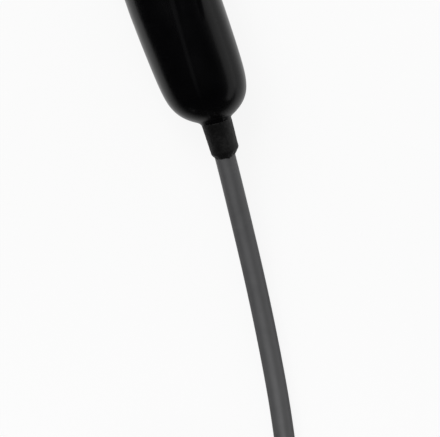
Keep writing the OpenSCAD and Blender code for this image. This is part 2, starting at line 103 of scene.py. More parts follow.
# The coil, and the route of the hose before and after it, in millimetres: X, Y and the share
# of the rise from the floor. DROP_ROUTE and RISE_ROUTE count X from the ferrule.
COIL_CENTRE = (-40 * MM, -47 * MM)
COIL_TURNS, COIL_STEPS = 3.875, 186  # 48 steps to a turn
COIL_PITCH = 6.85 * MM
COIL_OUTER = 37 * MM
TURN_IN, CLIMB_IN = 0.15, 0.25
# The rubber band round the coil, and the low hump in which the turns pass over it
TIE_TURN, TIE_WIDTH, TIE_WALL = 0.4375, 5 * MM, 0.6 * MM
TIE_LIFT, HUMP_FLAT, HUMP_REACH = TIE_WALL + 0.05 * MM, 0.03, 0.14
HOSE_ASIDE = Vector((0.36, 0.1, 0)) * MM  # the hose sits a little to one side in the collar
RUN_ROUTE = [
    (-60.3, -162, 0.62), (-63.2, -150, 0.35), (-66, -138, 0.15), (-68.6, -126, 0.04),
    (-71, -114, 0), (-73.2, -102, 0), (-75, -90, 0), (-76.4, -78, 0), (-77.1, -66, 0)]
DROP_ROUTE = [
    (-18.3, -65.2, 1.03), (-23.3, -59, 1.015), (-27, -52, 0.71), (-29.3, -44.6, 0.34),
    (-30, -37, 0.09), (-30, -30, 0)]
RISE_ROUTE = [
    (-30, -24, 0), (-28.2, -15, 0), (-23, -7, 0.2), (-15.2, -1.8, 0.63), (-10, -0.3, 0.9),
    (-6, 0, 1)]

# The stage: the floor's middle, the middle of the plunger unit on it, and the view
STAGE_CENTRE = Vector((-0.05, -0.12, 0))
UNIT_MIDDLE = Vector((-0.028, 0.02, FLOOR_Z))
EYE_X, EYE_Y = -55.37 * MM, -156.57 * MM
VIEW_WIDTH = 440 * 0.3046 * MM  # what the frame spans at the height of the tip's axis
SENSOR_WIDTH = 36  # in millimetres, as the camera takes it
BOARD_GLOW = 0.971  # the board's own light, which keeps it a little below white


# ---- Settings that a user would change ----

def linear(code):
    """An sRGB hex colour as linear RGBA."""
    parts = [int(code[i:i + 2], 16) / 255 for i in (1, 3, 5)]
    return tuple(c / 12.92 if c <= 0.04045 else ((c + 0.055) / 1.055) ** 2.4 for c in parts) + (1,)


def finish_colour(name, description, code):
    return FloatVectorProperty(name=name, description=description, default=linear(code)[:3],
                               size=3, min=0, max=1, subtype="COLOR")


def setting(kind, name, description, default, low, high, unit_size=1, **more):
    """A property whose default and limits are given in a unit of this size."""
    return kind(name=name, description=description, default=default * unit_size,
                min=low * unit_size, max=high * unit_size, **more)


# Lengths are given in millimetres, angles in degrees and powers in watts
length = partial(setting, FloatProperty, unit_size=MM, precision=5, subtype="DISTANCE", unit="LENGTH")
angle = partial(setting, FloatProperty, unit_size=math.radians(1), subtype="ANGLE", unit="ROTATION")
power = partial(setting, FloatProperty, unit="POWER")
count = partial(setting, IntProperty)


class HoseSettings(bpy.types.PropertyGroup):
    colour: finish_colour("Rubber", "Colour of the hose's rubber", "#4d4d4e")
    # This colour is a painted highlight along the hose's upper side
    dust: finish_colour("Dust", "Colour of the dust on the hose's upper side", "#5d5d5e")
    sides: count("Sides", "Faces around the hose", 28, 12, 48)
    step: length("Step", "Distance between rings on the free hose", 1.6, 0.8, 4)


class BulbSettings(bpy.types.PropertyGroup):
    colour: finish_colour("Rubber", "Colour of the bulb's rubber", "#040405")
    # This colour is a painted highlight along the parting line, lighter than the rubber
    dust: finish_colour("Dust", "Colour of the dust along the parting line", "#0d0d0e")
    seam_height: length("Seam height", "Height of the mould's parting line", 0.05, 0, 0.3)
    seam_width: length("Seam width", "Width of the parting line", 1, 0.2, 2)
    seam_angle: angle("Seam angle", "Place of the parting line, from the bulb's top", 2.7, -180, 180)
    dome_lean: angle("Dome lean", "How far the dome at the neck leans to one side", 3.6, 0, 6)


class CollarSettings(bpy.types.PropertyGroup):
    colour: finish_colour("Rubber", "Colour of the collar's rubber", "#090909")
    roughening: length("Roughening", "Height of the collar's rough skin", 0.11, 0, 0.2)
    raggedness: length("Raggedness", "Unevenness of the collar's cut rim", 0.3, 0, 0.6)


class MetalSettings(bpy.types.PropertyGroup):
    plating: finish_colour("Plating", "Colour of the nickel plating", "#c8c2b4")
    cap_ribs: count("Cap ribs", "Knurling ribs on each cap", 48, 24, 72)
    ring_ribs: count("Ring ribs", "Knurling ribs on the tip's finger ring", 32, 16, 48)
    screw_ribs: count("Screw ribs", "Knurling ribs on the lock screw", 22, 12, 32)
    thread_pitch: length("Thread pitch", "Distance between the thread's turns", 0.5, 0.4, 0.8)


class StageSettings(bpy.types.PropertyGroup):
    backdrop: finish_colour("Backdrop", "Colour of the floor and the backdrop", "#ffffff")
    camera_height: length("Camera height", "Height of the camera above the object", 1400, 800, 3000)
    key_power: power("Key lamp", "Power of the large soft lamp", 8.5, 0, 50)
    card_power: power("Side card", "Power of the low card beside the bulb", 0.27, 0, 5)
    unit_power: power("Unit lamp", "Power of the softbox over the plunger unit", 0.07, 0, 5)


# ---- Helpers ----

def feed(node, *values):
    """Gives a node's inputs values or links: in their order, or by name from a dict. None leaves
    an input as it is, and a node stands for its first output."""
    if values and isinstance(values[0], dict):
        pairs = [(node.inputs[name], value) for name, value in values[0].items()]
    else:
        pairs = zip([socket for socket in node.inputs if socket.enabled], values)
    for socket, value in pairs:
        if isinstance(value, bpy.types.Node):
            value = next(output for output in value.outputs if output.enabled)
        if isinstance(value, bpy.types.NodeSocket):
            node.id_data.links.new(value, socket)
        elif value is not None:
            socket.default_value = value


def add_node(tree, kind, *values, **settings):
    """Adds a node, sets its attributes and feeds its inputs."""
    node = tree.nodes.new(kind)
    for name, value in settings.items():
        setattr(node, name, value)
    feed(node, *values)
    return node


def emptied(owner):
    """Clears the nodes of a material or a world, and gives what adds a node to it."""
    owner.use_nodes = True
    owner.node_tree.nodes.clear()
    return partial(add_node, owner.node_tree)


def new_surface(name, constants):
    """A material, what adds a node to it, its one shader with these constant values on its own
    sockets, and the outputs of its texture coordinates."""
    material = bpy.data.materials.new(name)
    add = emptied(material)
    shader = add("ShaderNodeBsdfPrincipled", constants)
    add("ShaderNodeOutputMaterial", shader)
    return material, add, shader, add("ShaderNodeTexCoord").outputs


def shades(colour, dark, light):
    """A darker and a lighter tone of a colour, as RGBA."""
    return [tuple(c * share for c in colour[:3]) + (1,) for share in (dark, light)]


def new_object(name, mesh):
    obj = bpy.data.objects.new(name, mesh)
    bpy.context.scene.collection.objects.link(obj)
    return obj


def smooth(share):
    share = max(0.0, min(1.0, share))
    return share * share * (3 - 2 * share)


def mm(*points):
    """Points given in millimetres, as metres."""
    return [tuple(value * MM for value in point) for point in points]


def rounded(points, radius):
    """A profile whose corners between the first and last point are rounded by small arcs."""
    done = [Vector(points[0])]
    for before, corner, after in zip(points, points[1:], points[2:]):
        a, b, c = Vector(before), Vector(corner), Vector(after)
        reach = min(radius, (a - b).length * 0.45, (c - b).length * 0.45)
        start, end = b + (a - b).normalized() * reach, b + (c - b).normalized() * reach
        if reach < 1e-7 or (b - a).normalized().dot((c - b).normalized()) > 0.999:
            done.append(b)
            continue
        for k in range(4):
            t = k / 3
            done.append(start * (1 - t) ** 2 + b * 2 * t * (1 - t) + end * t ** 2)
    return done + [Vector(points[-1])]


def travelled(points):
    """How far along its line each point is."""
    so_far = [0.0]
    for a, b in zip(points, points[1:]):
        so_far.append(so_far[-1] + (Vector(b) - Vector(a)).length)
    return so_far


def skin(name, rings, columns=None, rows=None, looped=False, capped=False):
    """A mesh through rings of points, where a ring of one point is a pole. Its UV map has u from
    columns, which has one value more than a ring has points, and v from rows."""
    bm = bmesh.new()
    uv_layer = bm.loops.layers.uv.new("UVMap") if columns else None
    made = [[bm.verts.new(point) for point in ring] for ring in rings]
    around = max(len(ring) for ring in made)
    for row, pair in enumerate(zip(made, made[1:] + made[:1] if looped else made[1:])):
        for k in range(around):
            corners = []
            for step, (ring, order) in enumerate(zip(pair, ((k, k + 1), (k + 1, k)))):
                if len(ring) == 1:
                    corners.append((ring[0], (k, k + 1), row + step))
                else:
                    corners += [(ring[c % around], (c, c), row + step) for c in order]
            if len(corners) < 3:
                continue
            face = bm.faces.new([vertex for vertex, _, _ in corners])
            if columns:
                for loop, (_, (first, last), v) in zip(face.loops, corners):
                    loop[uv_layer].uv = ((columns[first] + columns[last]) / 2, rows[v])
    if capped:
        bm.faces.new(made[0])
        bm.faces.new(made[-1])
    bmesh.ops.recalc_face_normals(bm, faces=bm.faces)
    mesh = bpy.data.meshes.new(name)
    bm.to_mesh(mesh)
    bm.free()
    return mesh


def lathe(profile, segments=96, closed=False, place=None):
    """A mesh turned about the X axis from [x, radius] points, with a UV map in metres."""
    turns = [2 * math.pi * k / segments for k in range(segments + 1)]
    rings = [[(x, 0, 0)] if r < 1e-8 else [(x, r * math.cos(a), r * math.sin(a)) for a in turns[:-1]]
             for x, r in profile]
    widest = max(r for _, r in profile)
    mesh = skin("turned", rings, [a * widest for a in turns],
                travelled([*profile, profile[0]]), looped=closed)
    if place:
        mesh.transform(place)
    return mesh


def drill(low, high, radius, segments, place):
    """A round rod from low to high, for cutting a hole."""
    return lathe([(low, 0), (low, radius), (high, radius), (high, 0)], segments, place=place)


def block(low, high):
    """A box, for cutting or for the flag."""
    bm = bmesh.new()
    bmesh.ops.create_cube(bm, size=1)
    mesh = bpy.data.meshes.new("block")
    bm.to_mesh(mesh)
    bm.free()
    low, high = Vector(low), Vector(high)
    mesh.transform(Matrix.Translation((low + high) / 2) @ Matrix.Diagonal((*(high - low), 1)))
    return mesh


def axis_place(origin, direction):
    """Turns what lies along X to lie along a direction from an origin, its Z side kept up."""
    x = Vector(direction).normalized()
    y = (UP if abs(x.z) < 0.9 else Vector((0, 1, 0))).cross(x).normalized()
    matrix = Matrix((x, y, x.cross(y))).transposed().to_4x4()
    matrix.translation = Vector(origin)
    return matrix


def evaluated(obj):
    """The object with its modifiers made plain mesh."""
    bpy.context.view_layer.update()
    depsgraph = bpy.context.evaluated_depsgraph_get()
    mesh = bpy.data.meshes.new_from_object(
        obj.evaluated_get(depsgraph), preserve_all_data_layers=True, depsgraph=depsgraph)
    old = obj.data
    obj.modifiers.clear()
    obj.data = mesh
    bpy.data.meshes.remove(old)
    return obj


def cut_by(obj, cutter_mesh):
    """The object with the cutter's volume taken out of it."""
    cutter = new_object("cutter", cutter_mesh)
    modifier = obj.modifiers.new("Cut", "BOOLEAN")
    modifier.operation = "DIFFERENCE"
    modifier.solver = "EXACT"
    modifier.object = cutter
    evaluated(obj)
    bpy.data.objects.remove(cutter)
    return obj


def new_tree(name, sizes):
    """What adds a node to a new geometry tree, and the tree's inputs: a geometry, these sizes
    and a material."""
    tree = bpy.data.node_groups.new(name, "GeometryNodeTree")
    tree.interface.new_socket("Geometry", in_out="INPUT", socket_type="NodeSocketGeometry")
    for label, size in sizes.items():
        kind = "NodeSocketInt" if isinstance(size, int) else "NodeSocketFloat"
        tree.interface.new_socket(label, in_out="INPUT", socket_type=kind).default_value = size
    tree.interface.new_socket("Material", in_out="INPUT", socket_type="NodeSocketMaterial")
    tree.interface.new_socket("Geometry", in_out="OUTPUT", socket_type="NodeSocketGeometry")
    add = partial(add_node, tree)
    return add, add("NodeGroupInput").outputs


def close_tree(add, parts, material):
    """The tree, ended in real geometry of one material that is made of these parts."""
    joined = add("GeometryNodeJoinGeometry")
    for part in parts:
        feed(joined, part)
    painted = add("GeometryNodeSetMaterial", add("GeometryNodeRealizeInstances", joined), None,
                  material)
    return add("NodeGroupOutput", painted).id_data


def through_tree(obj, maker, values):
    """The object as a tree makes it, as plain mesh. The tree is made once."""
    tree = bpy.data.node_groups.get(maker.__name__) or maker(maker.__name__)
    modifier = obj.modifiers.new(tree.name, "NODES")
    modifier.node_group = tree
    for item in tree.interface.items_tree:
        if item.item_type == "SOCKET" and item.in_out == "INPUT" and item.name in values:
            modifier[item.identifier] = values[item.name]
    return evaluated(obj)


def knurled(obj, material, ribs, radius, place, span, width, height, gap=0.0):
    """The object with knurling ribs on a ring about X."""
    return through_tree(obj, knurling_ribs, {
        "Rib Count": ribs, "Ring Radius": radius, "Ring Place": place, "Rib Length": span,
        "Rib Width": width, "Rib Height": height, "Gap": gap, "Material": material})


def dressed(obj, body, slot, material, *nodes, sharp=35):
    """Gives a finished piece its shading, material and body, and hides the nodes that it stands for. The
    slot is not used.
    """
    obj.data.materials.clear()
    obj.data.materials.append(material)
    for polygon in obj.data.polygons:
        polygon.material_index = 0
        polygon.use_smooth = True
    obj.data.set_sharp_from_angle(angle=math.radians(sharp))
    obj.data.update()
    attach(obj, body)
    if nodes:
        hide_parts(*nodes)
    return obj


# ---- Materials ----
# A Map Range node takes its value, the span that it comes from and the span that it goes to. A
# Noise node takes its place, its scale per metre, its detail and its roughness.

def moulded_rubber(settings):
    # Vulcanised rubber from a polished mould: nearly black and glossy, with a faint orange
    # peel and slightly duller patches from handling
    material, add, shader, texture = new_surface("moulded black rubber", {
        "IOR": 1.5, "Specular IOR Level": 0.24})
    patches = add("ShaderNodeTexNoise", texture["Object"], 130, 3)
    peel = add("ShaderNodeTexNoise", texture["Object"], 1500, 2)
    tone = add("ShaderNodeMix", patches, *shades(settings.colour, 0.6, 1.4), data_type="RGBA")
    dull = add("ShaderNodeMapRange", patches, 0.3, 0.7, 0.2, 0.27)
    bump = add("ShaderNodeBump", {"Height": peel, "Strength": 0.25, "Distance": 0.02 * MM})
    # Painted highlight: a lighter line along the parting line, fading to a trace towards the dome at the
    # neck
    around = add("ShaderNodeSeparateXYZ", texture["UV"]).outputs
    off = add("ShaderNodeMath", around["X"], math.pi * BULB_RADIUS, operation="PINGPONG")
    seam = add("ShaderNodeMapRange", off, 0.15 * MM, 1 * MM, 1, 0, interpolation_type="SMOOTHSTEP")
    highlight_fade = add("ShaderNodeMapRange", around["Y"], 24 * MM, 32 * MM, 1, 0.1)
    share = add("ShaderNodeMath", seam, highlight_fade, operation="MULTIPLY")
    tone = add("ShaderNodeMix", share, tone, (*settings.dust, 1), data_type="RGBA")
    feed(shader, {"Base Color": tone, "Roughness": dull, "Normal": bump})
    return material


def rough_rubber(settings):
    # Soft rubber sleeve, perished and scuffed: matt, grainy and mottled grey on black, with a
    # smoother and darker rolled rim
    material, add, shader, texture = new_surface("perished matt rubber", {
        "IOR": 1.5, "Specular IOR Level": 0.5})
    grain = add("ShaderNodeTexNoise", texture["Object"], 1900, 4, 0.65)
    mottle = add("ShaderNodeTexNoise", texture["Object"], 380, 3, 0.6)
    both = add("ShaderNodeMath", grain, mottle, operation="MULTIPLY")
    spread = add("ShaderNodeMapRange", both, 0.18, 0.35, 0, 1)
    dark, light = shades(settings.colour, 0.1, 2.6)
    tone = add("ShaderNodeMix", spread, dark, light, data_type="RGBA")
    # Painted shade: darker next to the bulb, in the corner between bulb and sleeve. V runs up the
    # sleeve's back, then along it.
    along = add("ShaderNodeSeparateXYZ", texture["UV"]).outputs["Y"]
    bulb_shade = add("ShaderNodeMapRange", along, COLLAR_RADIUS + 3 * MM, COLLAR_RADIUS + 6.5 * MM, 0.9, 0)
    tone = add("ShaderNodeMix", bulb_shade, tone, dark, data_type="RGBA")
    rim_start = COLLAR_RADIUS + COLLAR_END - COLLAR_BACK - COLLAR_RIM
    rim = add("ShaderNodeMapRange", along, rim_start - 0.2 * MM, rim_start + 0.5 * MM, 0, 1)
    tone = add("ShaderNodeMix", rim, tone, linear("#0b0b0c"), data_type="RGBA")
    dull = add("ShaderNodeMapRange", rim, 0, 1, 0.6, 0.45)
    bump = add("ShaderNodeBump", {"Height": both, "Strength": 0.9, "Distance": 0.2 * MM})
    feed(shader, {"Base Color": tone, "Roughness": dull, "Normal": bump})
    return material


def hose_rubber(settings):
    # Extruded rubber tube: dull mid grey with a satin sheen, fine lines along it from the
    # die, and a dusty bloom in patches
    material, add, shader, texture = new_surface("extruded grey rubber", {
        "IOR": 1.5, "Specular IOR Level": 0.45, "Sheen Weight": 0.2, "Sheen Roughness": 0.4})
    drawn = add("ShaderNodeMapping", {"Vector": texture["UV"], "Scale": (4200, 60, 1)})
    lines = add("ShaderNodeTexNoise", drawn, 1, 2)
    bloom = add("ShaderNodeTexNoise", texture["Object"], 210, 4, 0.6)
    fine = add("ShaderNodeTexNoise", texture["Object"], 1700, 2)
    tone = add("ShaderNodeMix", bloom, *shades(settings.colour, 0.88, 1.14), data_type="RGBA")
    # Painted highlight: a lighter band along the upper side, a little off its middle, made uneven by the
    # bloom
    around = add("ShaderNodeSeparateXYZ", texture["UV"]).outputs["X"]
    off = add("ShaderNodeMath", around, 2 * math.pi * HOSE_RADIUS * 0.22, operation="SUBTRACT")
    off = add("ShaderNodeMath", off, operation="ABSOLUTE")
    highlight_band = add("ShaderNodeMapRange", off, 0.1 * MM, 1.6 * MM, 0.85, 0,
                  interpolation_type="SMOOTHSTEP")
    uneven = add("ShaderNodeMapRange", bloom, 0.35, 0.65, 0.6, 1)
    dust = add("ShaderNodeMath", highlight_band, uneven, operation="MULTIPLY")
    tone = add("ShaderNodeMix", dust, tone, (*settings.dust, 1), data_type="RGBA")
    dull = add("ShaderNodeMapRange", bloom, 0.3, 0.7, 0.4, 0.52)
    height = add("ShaderNodeMath", lines, fine, operation="ADD")
    bump = add("ShaderNodeBump", {"Height": height, "Strength": 0.3, "Distance": 0.03 * MM})
    feed(shader, {"Base Color": tone, "Roughness": dull, "Normal": bump})
    return material


def sheet_rubber():
    """The rubber of the gasket and of the band round the coil, made once."""
    # Die-cut sheet rubber: matt black, with a fine sawn grain
    name = "cut sheet rubber"
    if name in bpy.data.materials:
        return bpy.data.materials[name]
    material, add, shader, texture = new_surface(name, {"IOR": 1.5, "Specular IOR Level": 0.3})
    grain = add("ShaderNodeTexNoise", texture["Object"], 2600, 2)
    tone = add("ShaderNodeMix", grain, linear("#121213"), linear("#1f1f20"), data_type="RGBA")
    dull = add("ShaderNodeMapRange", grain, 0, 1, 0.65, 0.85)
    feed(shader, {"Base Color": tone, "Roughness": dull})
    return material


def turned_metal(name, colour, lowest, highest, pattern="UV"):
    """A metal with fine turning marks across it and soft patches of tarnish."""
    material, add, shader, texture = new_surface(name, {"Metallic": 1})
    # The marks are about 0.15 mm apart, coarser than real ones, so that they show
    scale = (120, 7000, 1) if pattern == "UV" else (7000, 120, 120)
    drawn = add("ShaderNodeMapping", {"Vector": texture[pattern], "Scale": scale})
    marks = add("ShaderNodeTexNoise", drawn, 1, 2)
    tarnish = add("ShaderNodeTexNoise", texture["Object"], 260, 4)
    tone = add("ShaderNodeMix", tarnish, *shades(colour, 0.8, 1.06), data_type="RGBA")
    mixed = add("ShaderNodeMath", tarnish, marks, operation="MULTIPLY")
    dull = add("ShaderNodeMapRange", mixed, 0.12, 0.4, lowest, highest)
    bump = add("ShaderNodeBump", {"Height": marks, "Strength": 0.12, "Distance": 0.02 * MM})
    feed(shader, {"Base Color": tone, "Roughness": dull, "Normal": bump})
    return material


def plating(context):
    """The nickel plating, made once."""
    # Nickel plate on turned brass: a warm grey satin metal with fine turning marks round it
    name = "nickel plate on turned brass"
    return bpy.data.materials.get(name) or turned_metal(
        name, (*context.scene.air_metal.plating, 1), 0.2, 0.36)


def cup_leather():
    # Oiled pump leather: dark brown and dull, with a pebbled grain
    material, add, shader, texture = new_surface("oiled pump leather", {
        "IOR": 1.5, "Specular IOR Level": 0.35})
    grain = add("ShaderNodeTexVoronoi", texture["Object"], 2200)
    stain = add("ShaderNodeTexNoise", texture["Object"], 400, 4)
    tone = add("ShaderNodeMix", stain, linear("#3d2817"), linear("#7a5636"), data_type="RGBA")
    dull = add("ShaderNodeMapRange", stain, 0, 1, 0.5, 0.8)
    bump = add("ShaderNodeBump", {"Height": grain, "Strength": 0.5, "Distance": 0.06 * MM})
    feed(shader, {"Base Color": tone, "Roughness": dull, "Normal": bump})
    return material


def black_felt():
    # Black felt: no gloss, with a faint tone from its fibres
    felt, add, shader, texture = new_surface("black felt", {"Roughness": 1, "Specular IOR Level": 0})
    fibres = add("ShaderNodeTexNoise", texture["Object"], 700, 2)
    tone = add("ShaderNodeMix", fibres, linear("#050505"), linear("#0b0b0b"), data_type="RGBA")
    feed(shader, {"Base Color": tone})
    return felt


def painted_board(white):
    # Painted board: white to the camera and in gloss, with a faint soft shadow on it
    paper, add, shader, texture = new_surface("white painted board", {
        "Base Color": linear("#e6e6e6"), "Roughness": 0.9})
    rays = add("ShaderNodeLightPath").outputs
    glossy, where = rays["Is Glossy Ray"], texture["Object"]
    place = add("ShaderNodeSeparateXYZ", where).outputs
    grain = add("ShaderNodeTexNoise", where, 900, 2)
    bump = add("ShaderNodeBump", {"Height": grain, "Strength": 0.05, "Distance": 0.05 * MM})
    feed(shader, {"Normal": bump})
    seen = add("ShaderNodeMath", rays["Is Camera Ray"], glossy, operation="MAXIMUM")
    seen = add("ShaderNodeMath", seen, rays["Is Transmission Ray"], operation="MAXIMUM")
    # In gloss the board's light falls off beside the bulb and ends a little way past it, and is
    # back round the plunger unit
    past = add("ShaderNodeMapRange", place["Y"], -0.2, -0.13, 0, 0.97,
               interpolation_type="SMOOTHSTEP")
    unit_off = add("ShaderNodeVectorMath", where, UNIT_MIDDLE, operation="DISTANCE")
    around = add("ShaderNodeMapRange", unit_off, 0.05, 0.09, 0, 1, interpolation_type="SMOOTHSTEP")
    past = add("ShaderNodeMath", past, around, operation="MULTIPLY")
    beside = add("ShaderNodeMapRange", place["X"], -0.06, -0.1, 0, 0.3)
    away = add("ShaderNodeMath", past, beside, operation="MAXIMUM")
    dimmed = add("ShaderNodeMath", away, glossy, operation="MULTIPLY")
    left = add("ShaderNodeMath", 1, dimmed, operation="SUBTRACT")
    strength = add("ShaderNodeMath", left, BOARD_GLOW, operation="MULTIPLY")
    glow = add("ShaderNodeEmission", white, strength)
    paint = add("ShaderNodeMix", dimmed, white, (0, 0, 0, 1), data_type="RGBA")
    matt = add("ShaderNodeBsdfDiffuse", paint)
    # The share of real light and shadow on it: a little to the camera, more in gloss
    share = add("ShaderNodeMapRange", glossy, 0, 1, 0.09, 0.6)
    bright = add("ShaderNodeMixShader", share, glow, matt)
    both = add("ShaderNodeMixShader", seen, shader, bright)
    output = next(node for node in paper.node_tree.nodes if node.type == "OUTPUT_MATERIAL")
    feed(output, both)
    return paper


def studio_world(white):
    """White to the camera; to gloss, a dark room that is lighter low down; an even soft light on
    everything else."""
    world = bpy.data.worlds.new("studio")
    add = emptied(world)
    rays = add("ShaderNodeLightPath").outputs
    direction = add("ShaderNodeTexCoord").outputs["Generated"]
    towards = add("ShaderNodeSeparateXYZ", direction).outputs
    height = add("ShaderNodeMapRange", towards["Z"], 0, 0.75, 0.3, 0.015)
    front = add("ShaderNodeMapRange", towards["Y"], -0.3, 0.5, 1, 0.08)
    room = add("ShaderNodeMath", height, front, operation="MULTIPLY")
    gloss = add("ShaderNodeBackground", white, room)
    soft = add("ShaderNodeBackground", white, 0.5)
    back = add("ShaderNodeBackground", white, 0.96)
    lit = add("ShaderNodeMixShader", rays["Is Glossy Ray"], soft, gloss)
    seen = add("ShaderNodeMath", rays["Is Camera Ray"], rays["Is Transmission Ray"],
               operation="MAXIMUM")
    mixed = add("ShaderNodeMixShader", seen, lit, back)
    add("ShaderNodeOutputWorld", mixed)
    return world


# ---- Geometry trees ----

def knurling_ribs(name):
    """One small rib on each point of a ring about X, left out over a gap at the top."""
    add, given = new_tree(name, {
        "Rib Count": 48, "Ring Radius": 5 * MM, "Ring Place": 0.0, "Rib Length": 4 * MM,
        "Rib Width": 0.5 * MM, "Rib Height": 0.3 * MM, "Gap": 0.0})
    number = add("GeometryNodeInputIndex")
    step = add("ShaderNodeMath", 2 * math.pi, given["Rib Count"], operation="DIVIDE")
    angle = add("ShaderNodeMath", number, step, operation="MULTIPLY")
    side = add("ShaderNodeMath", angle, operation="COSINE")
    up = add("ShaderNodeMath", angle, operation="SINE")
    out = add("ShaderNodeCombineXYZ", None, side, up)
    reach = add("ShaderNodeVectorMath", out, given["Ring Radius"], operation="SCALE")
    shift = add("ShaderNodeCombineXYZ", given["Ring Place"])
    place = add("ShaderNodeVectorMath", reach, shift, operation="ADD")
    ring = add("GeometryNodePoints", given["Rib Count"], place)
    turn = add("ShaderNodeCombineXYZ", angle)
    # The gap is a width about the top of the ring
    where = add("ShaderNodeSeparateXYZ", reach).outputs
    aside = add("ShaderNodeMath", where["Y"], operation="ABSOLUTE")
    near = add("ShaderNodeMath", aside, given["Gap"], operation="LESS_THAN")
    above = add("ShaderNodeMath", where["Z"], 0, operation="GREATER_THAN")
    left_out = add("ShaderNodeMath", near, above, operation="MULTIPLY")
    keep = add("ShaderNodeMath", 0.5, left_out, operation="GREATER_THAN")
    bar = add("GeometryNodeMeshCylinder", {"Vertices": 8, "Radius": 1, "Depth": 1})
    half = add("ShaderNodeMath", given["Rib Width"], 0.5, operation="MULTIPLY")
    size = add("ShaderNodeCombineXYZ", half, given["Rib Height"], given["Rib Length"])
    lying = add("GeometryNodeTransform", bar, None, (0, math.pi / 2, 0), size)
    ribs = add("GeometryNodeInstanceOnPoints", {
        "Points": ring, "Selection": keep, "Instance": lying, "Rotation": turn})
    return close_tree(add, (ribs, given["Geometry"]), given["Material"])


def screw_thread(name):
    """One ridge wound about X along a cone, run out to nothing at both ends."""
    add, given = new_tree(name, {
        "Turns": 9.0, "Start Radius": 1.8 * MM, "End Radius": 1.45 * MM, "Thread Length": 4.5 * MM,
        "Thread Place": 0.0, "Ridge": 0.2 * MM})
    spiral = add("GeometryNodeCurveSpiral", 32, given["Turns"], given["Start Radius"],
                 given["End Radius"], given["Thread Length"])
    shift = add("ShaderNodeCombineXYZ", given["Thread Place"])
    lying = add("GeometryNodeTransform", spiral, shift, (0, math.pi / 2, 0))
    share = add("GeometryNodeSplineParameter")
    rest = add("ShaderNodeMath", 1, share, operation="SUBTRACT")
    nearer = add("ShaderNodeMath", share, rest, operation="MINIMUM")
    runout = add("ShaderNodeMapRange", nearer, 0, 0.06, 0.15, 1)
    width = add("ShaderNodeMath", runout, given["Ridge"], operation="MULTIPLY")
    section = add("GeometryNodeCurvePrimitiveCircle", {"Resolution": 4, "Radius": 1})
    ridge = add("GeometryNodeCurveToMesh", lying, section, width, True)
    return close_tree(add, (ridge, given["Geometry"]), given["Material"])


def coil_spring(name):
    """A compression spring about X, wound back from its front end, its end turns closed."""
    add, given = new_tree(name, {
        "Turns": 8.0, "Front": 0.0, "Free Length": 13.3 * MM, "Coil Radius": 2.9 * MM,
        "Wire": 0.5 * MM})
    line = add("GeometryNodeCurvePrimitiveLine")
    fine = add("GeometryNodeResampleCurve", line, None, 321)
    share = add("GeometryNodeSplineParameter")
    turns = add("ShaderNodeMath", share, given["Turns"], operation="MULTIPLY")
    angle = add("ShaderNodeMath", turns, 2 * math.pi, operation="MULTIPLY")
    side = add("ShaderNodeMath", angle, operation="COSINE")
    up = add("ShaderNodeMath", angle, operation="SINE")
    # The end turns advance by one wire, and the open turns share out the rest
    first = add("ShaderNodeMath", turns, 1, operation="MINIMUM")
    before_last = add("ShaderNodeMath", given["Turns"], 1, operation="SUBTRACT")
    past = add("ShaderNodeMath", turns, before_last, operation="SUBTRACT")
    last = add("ShaderNodeMath", past, 0, operation="MAXIMUM")
    ends = add("ShaderNodeMath", first, last, operation="ADD")
    closed = add("ShaderNodeMath", ends, given["Wire"], operation="MULTIPLY")
    open_share = add("ShaderNodeMapRange", turns, 1, before_last, 0, 1)
    two_wires = add("ShaderNodeMath", given["Wire"], 2, operation="MULTIPLY")
    free = add("ShaderNodeMath", given["Free Length"], two_wires, operation="SUBTRACT")
    opened = add("ShaderNodeMath", open_share, free, operation="MULTIPLY")
    back = add("ShaderNodeMath", closed, opened, operation="ADD")
    along = add("ShaderNodeMath", given["Front"], back, operation="SUBTRACT")
    y = add("ShaderNodeMath", side, given["Coil Radius"], operation="MULTIPLY")
    z = add("ShaderNodeMath", up, given["Coil Radius"], operation="MULTIPLY")
    place = add("ShaderNodeCombineXYZ", along, y, z)
    wound = add("GeometryNodeSetPosition", fine, None, place)
    half = add("ShaderNodeMath", given["Wire"], 0.5, operation="MULTIPLY")
    section = add("GeometryNodeCurvePrimitiveCircle", {"Resolution": 12, "Radius": half})
    wire = add("GeometryNodeCurveToMesh", {"Curve": wound, "Profile Curve": section, "Fill Caps": True})
    return close_tree(add, (wire,), given["Material"])


# ---- Forms ----

def coil_point(turns):
    """A point of the coil's middle line: in on the floor, up at the middle, and out again."""
    past = turns - COIL_TURNS / 2
    bend = past * past / (2 * TURN_IN) + TURN_IN / 2 if abs(past) < TURN_IN else abs(past)
    radius = COIL_OUTER - COIL_PITCH * COIL_TURNS / 2 + COIL_PITCH * bend
    turned = math.pi - 2 * math.pi * turns
    off = abs(math.remainder(turns - TIE_TURN, 1))
    hump = TIE_LIFT * smooth((HUMP_REACH - off) / (HUMP_REACH - HUMP_FLAT))
    return Vector((
        COIL_CENTRE[0] + radius * math.cos(turned),
        COIL_CENTRE[1] + radius * math.sin(turned),
        HOSE_Z + COIL_PITCH * smooth((past + CLIMB_IN) / (2 * CLIMB_IN)) + hump))


